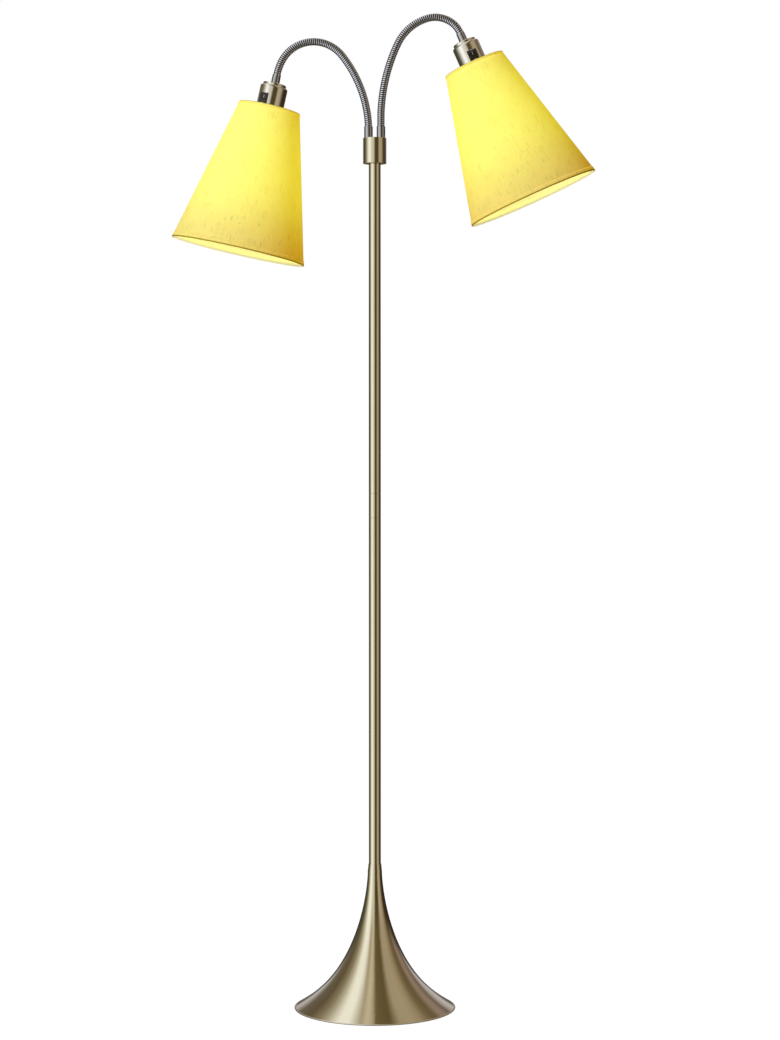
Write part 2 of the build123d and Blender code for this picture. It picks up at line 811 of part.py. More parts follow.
def make_flex(route):
    """Round two-core cable, from the terminal block to the socket."""
    with BuildPart() as flex:
        with BuildSketch(station(route, 0)):
            Circle(flex_radius)
        sweep(path=route)
    return flex.part


arms = (
    ("left", arm_places[0], left_rise, left_bend_radii, left_bend_turns, left_end_run, left_switch_turn),
    ("right", arm_places[1], right_rise, right_bend_radii, right_bend_turns, right_end_run, right_switch_turn),
)
mouth_level = collar_top_height + ferrule_length
socket_floor = mouth_level - ferrule_socket
flex_start = block_top - block_entry_depth
for name, place, rise, radii, turns, end, switch_turn in arms:
    neck_route = arm_route(
        place, socket_floor, ferrule_socket + rise, radii, turns, end + ferrule_socket
    )
    flex_end = end + head_ferrule_length - core_top
    flex_route = arm_route(place, flex_start, mouth_level - flex_start + rise, radii, turns, flex_end)
    save(make_ferrule(place), f"{name}_ferrule")
    save(make_ferrule_nut(place), f"{name}_ferrule_nut")
    save(make_gooseneck(neck_route), f"{name}_gooseneck")
    save(make_flex(flex_route), f"{name}_flex")

    # The head hangs on the end of its gooseneck, turned about its axis to face its switch
    down = neck_route % 1
    cap_point = neck_route @ 1 + down * (head_ferrule_length - ferrule_socket)
    front = Vector(0, -1, 0).rotate(Axis((0, 0, 0), down), -switch_turn)
    head_plane = Plane(origin=cap_point, x_dir=front, z_dir=-down)
    for piece_name, piece in head_pieces.items():
        save(piece.part.moved(head_plane.location), f"{name}_{piece_name}")
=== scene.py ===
# %% [markdown]
# # Dressing a two-arm floor lamp
#
# The lamp was designed as a CAD assembly: a trumpet foot, a slim pole, a collar, two goosenecks
# and two heads with fabric shades. Here that assembly is loaded as a fixed frame in metres, and
# every piece gets the surface that it has on the real lamp. Hard turned and moulded pieces keep
# their CAD shape and get a finish. What is wound, woven or folded is modelled here instead.

# %% Load the frame
import json
from math import atan2, cos, hypot, pi, radians, sin, tau
from types import SimpleNamespace

import bmesh
import bpy
from mathutils import Matrix, Vector


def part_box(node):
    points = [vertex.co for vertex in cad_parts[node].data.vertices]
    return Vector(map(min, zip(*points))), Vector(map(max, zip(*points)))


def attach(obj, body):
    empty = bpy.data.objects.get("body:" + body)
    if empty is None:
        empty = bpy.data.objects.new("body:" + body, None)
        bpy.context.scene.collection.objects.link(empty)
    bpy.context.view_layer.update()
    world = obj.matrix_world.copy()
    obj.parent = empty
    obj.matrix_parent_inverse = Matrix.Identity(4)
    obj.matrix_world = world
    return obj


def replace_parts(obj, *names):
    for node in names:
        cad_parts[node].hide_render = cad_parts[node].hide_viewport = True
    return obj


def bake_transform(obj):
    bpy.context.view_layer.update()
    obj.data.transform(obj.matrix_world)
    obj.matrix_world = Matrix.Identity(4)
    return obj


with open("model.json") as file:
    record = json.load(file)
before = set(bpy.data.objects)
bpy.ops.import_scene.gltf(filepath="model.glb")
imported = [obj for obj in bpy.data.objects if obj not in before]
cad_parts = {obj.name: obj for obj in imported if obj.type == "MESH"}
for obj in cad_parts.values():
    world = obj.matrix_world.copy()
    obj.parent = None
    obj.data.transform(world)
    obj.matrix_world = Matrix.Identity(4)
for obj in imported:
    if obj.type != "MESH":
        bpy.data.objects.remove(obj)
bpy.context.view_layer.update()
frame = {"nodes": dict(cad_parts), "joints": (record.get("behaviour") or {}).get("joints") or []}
nodes = frame["nodes"]
joints = {joint["name"]: joint for joint in frame["joints"]}

# %% [markdown]
# ## The camera
#
# The photograph was taken from nearly four metres away with a long lens, a little above half the
# lamp's height, looking very slightly down. A long lens keeps the pole's two edges parallel. The
# place and the lens were worked out from the foot's ellipse and from the heights along the pole.

# %% Camera
camera_place = Vector((0.0228, -3.700, 0.866))
camera_tip = radians(88.0)
lens_mm = 85.4

camera_data = bpy.data.cameras.new("photo_camera")
camera_data.lens = lens_mm
camera = bpy.data.objects.new("photo_camera", camera_data)
camera.location = camera_place
camera.rotation_euler = (camera_tip, 0, 0)
bpy.context.scene.collection.objects.link(camera)
bpy.context.scene.camera = camera
bpy.context.scene.view_settings.view_transform = "Standard"
print("camera", list(camera_place), "lens", lens_mm)

# %% [markdown]
# ## Shaders as sums
#
# A shader tree can be drawn as boxes and wires, but a pattern is easier to follow as arithmetic.
# `Wire` stands for the output of a node, and sums written with it add Math nodes by themselves.
# `Graph` adds every other node in one way: its type, then its settings, then its sockets.

# %% Wires and graphs
class Wire:
    """The output of a node. Sums with it become Math nodes in the same tree."""

    def __init__(self, graph, socket):
        self.graph = graph
        self.socket = socket

    def __add__(self, other):
        return self.graph.math("ADD", self, other)

    def __sub__(self, other):
        return self.graph.math("SUBTRACT", self, other)

    def __rsub__(self, other):
        return self.graph.math("SUBTRACT", other, self)

    def __mul__(self, other):
        return self.graph.math("MULTIPLY", self, other)

    def __truediv__(self, other):
        return self.graph.math("DIVIDE", self, other)

    def __rtruediv__(self, other):
        return self.graph.math("DIVIDE", other, self)

    __radd__ = __add__
    __rmul__ = __mul__


class Graph:
    """A node tree, with one method that adds any node."""

    def __init__(self, tree):
        self.tree = tree

    def feed(self, socket, value):
        """Link a wire to a socket, or set the socket's own value."""
        if isinstance(value, Wire):
            self.tree.links.new(value.socket, socket)
        elif socket.type == "RGBA":
            socket.default_value = (*value, 1.0)
        else:
            socket.default_value = value

    def node(self, kind, settings=None, sockets=None, output=0):
        """Add a node and return one of its outputs."""
        made = self.tree.nodes.new("ShaderNode" + kind)
        for name, value in (settings or {}).items():
            if name == "stops":
                self.set_stops(made.color_ramp.elements, value)
            else:
                setattr(made, name, value)
        for name, value in (sockets or {}).items():
            self.feed(made.inputs[name], value)
        return Wire(self, made.outputs[output])

    def set_stops(self, elements, stops):
        """Give a colour ramp its stops: a place and a colour each."""
        while len(elements) < len(stops):
            elements.new(1.0)
        for element, (place, colour) in zip(elements, stops):
            element.position = place
            element.color = (*colour, 1.0)

    def math(self, operation, *values):
        """A Math node on numbers and wires."""
        return self.node("Math", {"operation": operation}, dict(enumerate(values)))

    def vector(self, operation, *values, output=0):
        """A Vector Math node."""
        return self.node("VectorMath", {"operation": operation}, dict(enumerate(values)), output)

    def mix(self, factor, first, second, way="MIX"):
        """A colour between two colours. A Mix node has them at sockets 6 and 7, and at output 2."""
        settings = {"data_type": "RGBA", "blend_type": way}
        return self.node("Mix", settings, {0: factor, 6: first, 7: second}, output=2)

    def step(self, value, low, high):
        """Nothing below low, one above high, and a soft edge between."""
        return self.node("MapRange", {"interpolation_type": "SMOOTHSTEP"}, {0: value, 1: low, 2: high})

    def noise(self, place, scale, detail=2.0, roughness=0.5):
        """Cloudy noise at a scale, between nothing and one."""
        sockets = {"Vector": place, "Scale": scale, "Detail": detail, "Roughness": roughness}
        return self.node("TexNoise", None, sockets)

    def stretched(self, place, scale):
        """A place whose axes run at different speeds, for grain and threads."""
        return self.vector("MULTIPLY", place, scale)

    def scaled(self, value, factor):
        """A colour or a place times a number."""
        return self.node("VectorMath", {"operation": "SCALE"}, {0: value, "Scale": factor})

    def axis(self, place, name):
        """One coordinate of a place."""
        return self.node("SeparateXYZ", None, {0: place}, output=name)

    def length(self, place):
        """The distance of a place from the origin."""
        return self.vector("LENGTH", place, output="Value")


print("nodes can be added to a tree")

# %% [markdown]
# A finish is one new material with one Principled shader. Its patterns are laid out in metres, in the
# lamp's own frame or in that of a head, because a head leans and its turning lines lean with it.

# %% Finishes
class Finish(Graph):
    """A new material with one Principled shader."""

    def __init__(self, name, constants):
        self.material = bpy.data.materials.new(name)
        self.material.use_nodes = True
        super().__init__(self.material.node_tree)
        self.shader = self.tree.nodes["Principled BSDF"]
        self.surface(constants)

    def surface(self, sockets):
        """Set or link sockets of the Principled shader."""
        for name, value in sockets.items():
            self.feed(self.shader.inputs[name], value)

    def place(self, matrix=None):
        """The lamp's own metres, or those of a piece that stands where the matrix says."""
        lamp = self.node("TexCoord", output="Object")
        if matrix is None:
            return lamp
        sockets = {"Vector": lamp, "Location": matrix.translation, "Rotation": matrix.to_euler()}
        return self.node("Mapping", {"vector_type": "TEXTURE"}, sockets)

    def bump(self, height, distance, strength=1.0):
        """Raise the surface by a height between nothing and one, times a distance in metres."""
        sockets = {"Height": height, "Distance": distance, "Strength": strength}
        self.surface({"Normal": self.node("Bump", None, sockets)})


print("finishes can be made")

# %% [markdown]
# ## Studio light
#
# Satin brass has hardly any colour pattern of its own: what it shows is the studio. The photograph
# has a wide soft light to the left of the camera, a dark gap behind the camera and a weaker light
# to the right, and on every turned piece they become upright bands, also on the flared foot. Lamps
# and cards could make them, but a world that changes with the direction does it with no object in
# the way. The bands are laid out by the way a mirror must face to throw that direction to the
# front of the room, so that they run on unbroken from the pole to the rim of the foot. Mirrors that
# face upwards, as the flare does, see a second set of bands higher up in the room. Right overhead
# there is a soft light, and mirrors that face down see a dim floor. A surface that is seen edge-on
# mirrors the room right behind the lamp, which is dim too, so that no bright line runs along an edge.

# %% World
back_of_room = Vector((0.0, 1.0, 0.0))
upright_stops = [
    (0.000, (0.05, 0.05, 0.03)),
    (0.200, (0.11, 0.12, 0.10)),
    (0.250, (0.38, 0.41, 0.48)),
    (0.340, (1.45, 1.70, 2.50)),
    (0.380, (1.40, 1.62, 2.35)),
    (0.415, (1.00, 1.12, 1.55)),
    (0.470, (0.88, 0.95, 1.25)),
    (0.512, (0.11, 0.10, 0.05)),
    (0.590, (0.11, 0.09, 0.05)),
    (0.625, (0.62, 0.61, 0.68)),
    (0.690, (0.58, 0.56, 0.62)),
    (0.740, (0.20, 0.17, 0.15)),
    (0.775, (0.06, 0.04, 0.03)),
    (1.000, (0.05, 0.04, 0.03)),
]
flare_stops = [
    (0.000, (0.40, 0.39, 0.40)),
    (0.020, (0.50, 0.50, 0.54)),
    (0.050, (0.74, 0.77, 0.95)),
    (0.120, (0.20, 0.19, 0.21)),
    (0.200, (0.17, 0.15, 0.13)),
    (0.260, (0.36, 0.34, 0.34)),
    (0.300, (0.66, 0.70, 0.86)),
    (0.350, (1.32, 1.52, 2.25)),
    (0.390, (1.32, 1.54, 2.30)),
    (0.440, (0.55, 0.55, 0.62)),
    (0.465, (0.85, 0.86, 1.00)),
    (0.485, (0.70, 0.69, 0.76)),
    (0.505, (0.20, 0.18, 0.13)),
    (0.565, (0.17, 0.14, 0.09)),
    (0.605, (0.54, 0.52, 0.56)),
    (0.655, (0.56, 0.53, 0.57)),
    (0.695, (0.47, 0.43, 0.43)),
    (0.735, (0.25, 0.21, 0.17)),
    (0.775, (0.20, 0.16, 0.13)),
    (0.810, (0.40, 0.34, 0.39)),
    (0.835, (0.38, 0.32, 0.38)),
    (0.870, (0.20, 0.17, 0.19)),
    (0.900, (0.52, 0.53, 0.70)),
    (0.955, (0.74, 0.75, 0.92)),
    (0.980, (0.50, 0.49, 0.52)),
    (1.000, (0.40, 0.39, 0.40)),
]
flare_starts, flare_full = 0.06, 0.26
overhead_starts, overhead_full = 0.88, 0.96
bounce_starts, bounce_full = 0.35, 0.70
overhead = (1.0, 1.0, 1.1)
floor_bounce = (0.16, 0.15, 0.13)
behind_full, behind_ends = 0.18, 0.34
behind = (0.16, 0.15, 0.13)
ambient = (0.11, 0.11, 0.11)
backdrop = (1.0, 1.0, 1.0)

world = bpy.data.worlds.new("studio")
world.use_nodes = True
bpy.context.scene.world = world
sky = Graph(world.node_tree)
away = sky.vector("SUBTRACT", sky.node("TexCoord", output="Generated"), back_of_room)
mirror = sky.vector("NORMALIZE", away)
across = sky.axis(mirror, "X")
forward = 0.0 - sky.axis(mirror, "Y")
upward = sky.axis(mirror, "Z")
share = 0.5 + sky.math("ARCTAN2", across, forward) / pi
upright_bands = sky.node("ValToRGB", {"stops": upright_stops}, {0: share})
flare_bands = sky.node("ValToRGB", {"stops": flare_stops}, {0: share})
bands = sky.mix(sky.step(upward, flare_starts, flare_full), upright_bands, flare_bands)
bands = sky.mix(sky.step(upward, overhead_starts, overhead_full), bands, overhead)
bands = sky.mix(sky.step(0.0 - upward, bounce_starts, bounce_full), bands, floor_bounce)
aside = sky.step(sky.length(away), behind_full, behind_ends)
bands = sky.mix(aside, behind, bands)
mirrored = sky.mix(sky.node("LightPath", output="Is Glossy Ray"), ambient, bands)
seen = sky.mix(sky.node("LightPath", output="Is Camera Ray"), mirrored, backdrop)
sky.feed(world.node_tree.nodes["Background"].inputs["Color"], seen)
print("studio bands", len(upright_stops), "upright and", len(flare_stops), "on the flare")

# %% [markdown]
# The fabric can't mirror those bands, so only reflections see them, and matt surfaces get a plain dim
# light from all round. What shapes the fabric is one large soft light at the upper left, cool beside
# the warm bulbs, which leaves the right flank of each shade in shadow. The bands stand for that light
# in the metal already, so the light itself is kept out of reflections.

# %% Key light
key_place = Vector((-1.6, -1.9, 2.4))
key_aim = Vector((0.0, 0.0, 1.3))
key_size = 0.9
key_colour = (0.22, 0.345, 0.90)
key_power = 240.0

key_data = bpy.data.lights.new("key_light", "AREA")
key_data.shape = "DISK"
key_data.size = key_size
key_data.color = key_colour
key_data.energy = key_power
key = bpy.data.objects.new("key_light", key_data)
key.location = key_place
key.rotation_euler = (key_aim - key_place).to_track_quat("-Z", "Y").to_euler()
key.visible_glossy = False
bpy.context.scene.collection.objects.link(key)
print("key light of", key_power, "W from", round((key_aim - key_place).length, 2), "m")

# %% [markdown]
# The floor is a white round sweep, lit so strongly in the photograph that the foot throws no shadow on
# it. So it gives off light of its own, and hardly takes the colour of the key light. The bands hold its
# reflection already, so it is kept out of reflections itself. It lies a hair below the felt pad, because
# two faces in one plane flicker.

# %% Floor
floor_radius = 1.2
floor_glow = 0.985
floor_gap = 0.0002
floor_sides = 128
floor_shade, floor_light = (0.10, 0.10, 0.10), (1.0, 1.0, 1.0)

floor_mesh = bpy.data.meshes.new("floor")
floor_form = bmesh.new()
bmesh.ops.create_circle(floor_form, cap_ends=True, segments=floor_sides, radius=floor_radius,
                         matrix=Matrix.Translation((0, 0, -floor_gap)))
floor_form.to_mesh(floor_mesh)
floor_form.free()
floor = bpy.data.objects.new("floor", floor_mesh)
bpy.context.scene.collection.objects.link(floor)
floor_finish = Finish("pale_floor", {"Base Color": floor_shade, "Roughness": 0.9})
floor_finish.surface({"Emission Color": floor_light, "Emission Strength": floor_glow})
floor_mesh.materials.append(floor_finish.material)
floor.visible_glossy = False
print("floor radius", floor_radius)

# %% [markdown]
# ## The line of each arm
#
# A gooseneck has no shape of its own: someone bent it. Each arm rises out of its ferrule, goes
# over in a few tangent bends and comes down into the lampholder. The same line is needed for the
# winding, the flex inside it and the place of the head, so it is worked out once.

# %% Arm lines
up = Vector((0, 0, 1))
to_viewer = Vector((0, -1, 0))
head_ferrule_length = 0.014
arm_shapes = {
    "left": {
        "out": -1,
        "rise": 0.0005,
        "radii": (0.0600, 0.1810, 0.0537, 0.0777),
        "turns": (4.0, 34.9, 113.5, 15.0),
        "end_run": 0.001,
        "switch_turn": -34.0,
    },
    "right": {
        "out": 1,
        "rise": 0.0111,
        "radii": (0.2609, 0.0723, 0.0427, 0.0360),
        "turns": (25.1, 46.9, 51.5, 32.4),
        "end_run": 0.001,
        "switch_turn": 9.0,
    },
}


def arm_heading(arm, lean):
    """The way an arm points when it leans from upright by an angle."""
    return up * cos(lean) + arm.outward * sin(lean)


def arm_at(arm, distance):
    """Point and heading at a distance along an arm from the mouth of its lower ferrule."""
    lean = 0.0
    point = arm.mouth + up * min(distance, arm.rise)
    left = distance - arm.rise
    for radius, turn in zip(arm.radii, arm.turns):
        if left <= 0:
            break
        bend = min(left / radius, radians(turn))
        centre = point + arm_heading(arm, lean + pi / 2) * radius
        lean += bend
        point = centre - arm_heading(arm, lean + pi / 2) * radius
        left -= bend * radius
    return point + arm_heading(arm, lean) * max(left, 0.0), arm_heading(arm, lean)


def head_place(arm):
    """Where a head stands: its cap's top is the origin, its switch faces +X and its cap +Z."""
    point, down = arm_at(arm, arm.length + head_ferrule_length)
    front = Matrix.Rotation(-radians(arm.switch_turn), 3, down) @ to_viewer
    side = (-down).cross(front)
    turned = Matrix((front, side, -down)).transposed().to_4x4()
    return Matrix.Translation(point) @ turned


arms = {}
for name, shape in arm_shapes.items():
    arm = SimpleNamespace(name=name, **shape)
    arm.outward = Vector((arm.out, 0, 0))
    root = Vector(joints[f"{name}_arm_swing"]["pos_m"])
    arm.mouth = Vector((root.x, 0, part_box(f"{name}_ferrule")[1].z))
    bends = sum(radius * radians(turn) for radius, turn in zip(arm.radii, arm.turns))
    arm.length = arm.rise + bends + arm.end_run
    arm.head = head_place(arm)
    arms[name] = arm
    print(name, "arm", round(arm.length, 4), "head at", [round(x, 4) for x in arm.head.translation])

# %% [markdown]
# ## Keeping a piece
#
# Every new piece ends the same way: its mesh goes into an object at the origin and it takes its
# finishes. The marks, shades and hems then ride on the body that carries them. Hard CAD pieces only
# swap their material. The brass in the photograph mirrors the studio, but neither the arms nor the lit
# heads. So the new pieces, which all belong to an arm or a head, are kept out of reflections, and so
# are the CAD pieces of both.

# %% Helpers for pieces
def keep(name, form, *finishes):
    """Turn a bmesh into a smooth object of the scene, with its finishes."""
    mesh = bpy.data.meshes.new(name)
    form.to_mesh(mesh)
    form.free()
    for polygon in mesh.polygons:
        polygon.use_smooth = True
    for finish in finishes:
        mesh.materials.append(finish.material)
    piece = bpy.data.objects.new(name, mesh)
    piece.visible_glossy = False
    bpy.context.scene.collection.objects.link(piece)
    print("made", name, len(mesh.polygons), "faces")
    return piece


def dress(finish, *names):
    """Give CAD nodes a finish."""
    for name in names:
        materials = nodes[name].data.materials
        materials.clear()
        materials.append(finish.material)


for name, node in nodes.items():
    node.visible_glossy = not name.startswith(tuple(arms))
print("CAD pieces to dress:", len(nodes))

# %% [markdown]
# ## Satin brass
#
# The foot, pole, collar and lampholders are brass that was brushed on a lathe and lacquered. A
# single smooth metal would look like plastic gold, so three things vary: hair-fine turning lines
# round the axis, a slow change of tint where the lacquer is uneven, and a slightly duller film
# that gathers in patches. The lines follow the distance from the axis plus the height, which makes
# them rings on the pole and on the flare alike. Drawn tubes and pressed covers are a little softer
# than the foot, which was polished as it was spun. Round the foot's rim a thin pale line with a duller
# gloss is painted in as a highlight, and below it the edge is darkened as painted shadow where the
# rim meets the floor.

# %% Brass
stand_tints = (0.54, 0.42, 0.20), (0.70, 0.59, 0.32)
holder_tints = (0.56, 0.46, 0.26), (0.72, 0.63, 0.40)
line_rate = 2600.0
brass_cloud_rate = 16.0
line_tint_share, cloud_tint_share = 0.3, 0.45
line_dull, cloud_dull = 0.04, 0.03
line_depth, line_strength = 0.00002, 0.02
rim_highlight_tint, rim_shadow_tint = (0.80, 0.68, 0.42), (0.32, 0.25, 0.12)
rim_highlight_height, rim_shadow_height = (0.0013, 0.0019), (0.0005, 0.0009)
rim_dull = 0.35


def brass_finish(name, tints, rough, matrix=None, rim=None):
    """Lathe-brushed, lacquered brass with its axis where the matrix says, and a painted highlight and
    painted shadow at a rim.
    """
    brass = Finish(name, {"Metallic": 1.0, "Coat Weight": 0.15, "Coat Roughness": 0.08})
    place = brass.place(matrix)
    radius = brass.length(brass.stretched(place, (1.0, 1.0, 0.0)))
    height = brass.axis(place, "Z")
    along = height + radius
    line_place = brass.node("CombineXYZ", None, {0: along * line_rate})
    lines = brass.noise(line_place, 1.0, detail=3.0, roughness=0.7)
    cloud = brass.noise(place, brass_cloud_rate, detail=3.0)
    tint = 0.5 + (cloud - 0.5) * cloud_tint_share + (lines - 0.5) * line_tint_share
    colour = brass.mix(tint, *tints)
    dullness = rough + lines * line_dull + cloud * cloud_dull
    if rim is not None:
        # a pale, duller line just above the rim is a painted highlight; the dark edge below it is
        # painted shadow
        highlight_band = 1.0 - brass.step(height - rim, *rim_highlight_height)
        edge = 1.0 - brass.step(height - rim, *rim_shadow_height)
        colour = brass.mix(edge, brass.mix(highlight_band, colour, rim_highlight_tint), rim_shadow_tint)
        dullness = dullness + highlight_band * rim_dull
    brass.surface({"Base Color": colour, "Roughness": dullness})
    brass.bump(lines, line_depth, line_strength)
    return brass


spun_brass = brass_finish("spun_brass", stand_tints, rough=0.06, rim=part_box("base_bell")[0].z)
drawn_brass = brass_finish("drawn_brass", stand_tints, rough=0.05)
dress(spun_brass, "base_bell", "neck_ring")
dress(drawn_brass, "lower_pole", "pole_coupling", "upper_pole", "arm_collar")
for arm in arms.values():
    holder_brass = brass_finish(f"{arm.name}_holder_brass", holder_tints, rough=0.04, matrix=arm.head)
    dress(holder_brass, f"{arm.name}_holder_cap", f"{arm.name}_holder_cover")
print("brass on the stand and both lampholders")

# %% [markdown]
# ## Chrome, steel and the other hard finishes
#
# The ferrules are polished chrome with the faint smears that polished metal always has. Zinc-plated
# nuts are duller and mottled, and the ballast is rough cast iron. Most of these pieces sit inside
# the lamp, but they show when it is taken apart. Smears, mottling and casting skin are all cloudy, so
# one pattern serves them at different scales and depths.

# %% Plain metals
def metal_finish(name, dark, light, rate, rough, spread, bump_height):
    """A metal whose tint and gloss vary with cloudy noise."""
    metal = Finish(name, {"Metallic": 1.0})
    cloud = metal.noise(metal.place(), rate, detail=4.0, roughness=0.6)
    metal.surface({"Base Color": metal.mix(cloud, dark, light)})
    metal.surface({"Roughness": rough + cloud * spread})
    metal.bump(cloud, bump_height)
    return metal


chrome = metal_finish("chrome", (0.30, 0.27, 0.20), (0.40, 0.36, 0.27),
                      rate=160.0, rough=0.05, spread=0.08, bump_height=0.000004)
zinc = metal_finish("zinc_steel", (0.40, 0.41, 0.42), (0.62, 0.62, 0.60),
                    rate=420.0, rough=0.28, spread=0.25, bump_height=0.00002)
raw_brass = metal_finish("turned_brass", (0.55, 0.38, 0.14), (0.72, 0.56, 0.26),
                         rate=300.0, rough=0.18, spread=0.2, bump_height=0.00001)
bulb_metal = metal_finish("rolled_aluminium", (0.55, 0.55, 0.55), (0.78, 0.78, 0.78),
                          rate=260.0, rough=0.2, spread=0.2, bump_height=0.00001)
iron = metal_finish("cast_iron", (0.020, 0.020, 0.021), (0.075, 0.072, 0.068),
                    rate=240.0, rough=0.55, spread=0.3, bump_height=0.0004)
iron.surface({"Metallic": 0.6})

dress(iron, "base_weight")
dress(zinc, "tie_tube", "base_washer", "base_nut", "collar_screw")
dress(raw_brass, "pole_bush", "collar_plug")
for side in arms:
    dress(chrome, f"{side}_ferrule", f"{side}_head_ferrule")
    dress(zinc, f"{side}_ferrule_nut", f"{side}_head_nut")
    dress(raw_brass, f"{side}_screw_shell", f"{side}_centre_contact")
    dress(bulb_metal, f"{side}_bulb_cap")
print("metal finishes done")

# %% [markdown]
# Moulded plastic has a fine spark-eroded grain that dulls it, apart from the rocker, which is
# polished where fingers press it. Felt, paint, ink and the flex's sheath are softer or smoother versions
# of the same idea. The studio's bands are cool, and a slightly warm mirror image keeps black black.

# %% Plastics, felt and paint
warm_mirror = (1.0, 0.85, 0.6)
slow_grain = 20


def grain_finish(name, dark, light, rate, rough, spread, bump_height):
    """A non-metal with a fine even grain."""
    grain = Finish(name, {"Specular IOR Level": 0.35, "Specular Tint": warm_mirror})
    fine = grain.noise(grain.place(), rate, detail=2.0)
    slow = grain.noise(grain.place(), rate / slow_grain, detail=2.0)
    grain.surface({"Base Color": grain.mix(slow * 0.5 + fine * 0.5, dark, light)})
    grain.surface({"Roughness": rough + fine * spread})
    grain.bump(fine, bump_height)
    return grain


black_plastic = grain_finish("black_plastic", (0.014, 0.009, 0.003), (0.034, 0.021, 0.007),
                             rate=2200.0, rough=0.38, spread=0.2, bump_height=0.00003)
rocker_plastic = grain_finish("rocker_plastic", (0.012, 0.008, 0.002), (0.024, 0.015, 0.005),
                              rate=900.0, rough=0.14, spread=0.12, bump_height=0.00001)
felt = grain_finish("felt", (0.008, 0.008, 0.009), (0.045, 0.045, 0.048),
                    rate=900.0, rough=0.85, spread=0.15, bump_height=0.0006)
white_paint = grain_finish("white_paint", (0.72, 0.70, 0.66), (0.86, 0.85, 0.82),
                           rate=700.0, rough=0.30, spread=0.15, bump_height=0.00004)
ink = grain_finish("pale_ink", (0.42, 0.32, 0.14), (0.52, 0.40, 0.18),
                   rate=900.0, rough=0.40, spread=0.15, bump_height=0.00001)
sheath = grain_finish("flex_sheath", (0.62, 0.60, 0.56), (0.74, 0.72, 0.68),
                      rate=500.0, rough=0.45, spread=0.15, bump_height=0.00002)

dress(black_plastic, "cable_bush", "terminal_block")
dress(felt, "base_pad")
for side in arms:
    dress(black_plastic, f"{side}_switch_frame", f"{side}_socket_core", f"{side}_shade_rings")
    dress(rocker_plastic, f"{side}_switch_rocker")
    dress(white_paint, f"{side}_shade_fitter", f"{side}_shade_hoop")
print("plastic, felt and paint done")

# %% [markdown]
# Each rocker carries the two usual marks, a stroke for on and a ring for off, printed in pale ink.
# A print is thin, but it has edges that catch the light, so both are modelled as a film of ink with
# rounded edges. The rocker's face is dished, so each mark lies on its own half of the face.

# %% Switch marks
rocker_tilt = 9.0
rocker_front = 0.0032
rocker_dish = 0.0010
rocker_reach = 0.0098
mark_height = 0.0056
mark_stroke = 0.0009
mark_length = 0.0040
ring_radius = 0.0017
ink_film = 0.00012
stroke_round_share, round_steps = 0.45, 4
ring_sides, ring_steps = 8, 32


def rocker_face(arm, half):
    """Where a mark lies: +X leaves the rocker, +Z runs up it. half is one above, minus one below."""
    pivot = arm.head.inverted() @ Vector(joints[f"{arm.name}_switch_rock"]["pos_m"])
    tilt = Matrix.Rotation(-radians(rocker_tilt), 4, "Y")
    slope = Matrix.Rotation(half * atan2(rocker_dish, rocker_reach), 4, "Y")
    out = rocker_front + rocker_dish * mark_height / rocker_reach
    spot = Matrix.Translation((out, 0, half * mark_height))
    return arm.head @ Matrix.Translation(pivot) @ tilt @ spot @ slope


def stroke_mark():
    """A stroke for on."""
    form = bmesh.new()
    bmesh.ops.create_cube(form, size=1.0)
    bmesh.ops.scale(form, verts=form.verts[:], vec=(2 * ink_film, mark_stroke, mark_length))
    along = [e for e in form.edges if abs(e.verts[0].co.x - e.verts[1].co.x) > ink_film]
    bmesh.ops.bevel(form, geom=along, offset=stroke_round_share * mark_stroke, segments=round_steps,
                    profile=0.5, affect="EDGES", material=-1)
    return form


def ring_mark():
    """A ring for off."""
    form = bmesh.new()
    flatten = Matrix.Diagonal((ink_film, mark_stroke / 2, 1.0, 1.0))
    place = Matrix.Translation((0, ring_radius, 0))
    bmesh.ops.create_circle(form, segments=ring_sides, radius=1.0, matrix=place @ flatten)
    bmesh.ops.spin(form, geom=form.verts[:] + form.edges[:], cent=(0, 0, 0), axis=(1, 0, 0), angle=tau,
                   steps=ring_steps, use_merge=True)
    bmesh.ops.recalc_face_normals(form, faces=form.faces[:])
    return form


for arm in arms.values():
    for name, form, half in (("on", stroke_mark(), 1), ("off", ring_mark(), -1)):
        form.transform(rocker_face(arm, half))
        mark = keep(f"{arm.name}_{name}_mark", form, ink)
        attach(mark, f"{arm.name}_rocker")

# %% [markdown]
# ## The goosenecks
#
# A gooseneck is one steel wire wound tightly over a core. Hands keep the crests of the wire bright.
# The grooves between its turns hold dirt and lie in shade, and both are painted in as a near-black
# groove colour. Stripes could be painted, but they would have to follow the winding. So each point of
# the mesh keeps its height between core and crest, and the finish reads that.

# %% Gooseneck finish
wire_crest = 0.0057
core_radius = 0.0046
smear_rate, smear_share = 220.0, 0.3
crest_limits = (0.86, 0.985)
groove_dirt_and_shade = (0.012, 0.012, 0.012)
polish_tints = (0.80, 0.73, 0.58), (0.48, 0.435, 0.36)
wire_rough, smear_rough = 0.04, 0.06

gooseneck_finish = Finish("gooseneck_chrome", {"Metallic": 1.0})
# output 2 of an Attribute node is the plain number
crest = gooseneck_finish.node("Attribute", {"attribute_name": "crest"}, output=2)
smear = gooseneck_finish.noise(gooseneck_finish.place(), smear_rate, detail=4.0)
# below the crest the wire takes the groove colour: dirt and painted shade
crest_mask = gooseneck_finish.step(crest, *crest_limits)
polish = gooseneck_finish.mix(smear * smear_share, *polish_tints)
gooseneck_finish.surface({"Base Color": gooseneck_finish.mix(crest_mask, groove_dirt_and_shade, polish)})
gooseneck_finish.surface({"Roughness": wire_rough + smear * smear_rough})
print("gooseneck finish done")

# %% [markdown]
# The winding is a screw. A stack of rings would be quicker to make, but its turns would not run into
# each other. So the wire's section is spun round the axis while it climbs, for one turn, and the turns
# are stacked. All this is made straight and then laid on the arm's line.

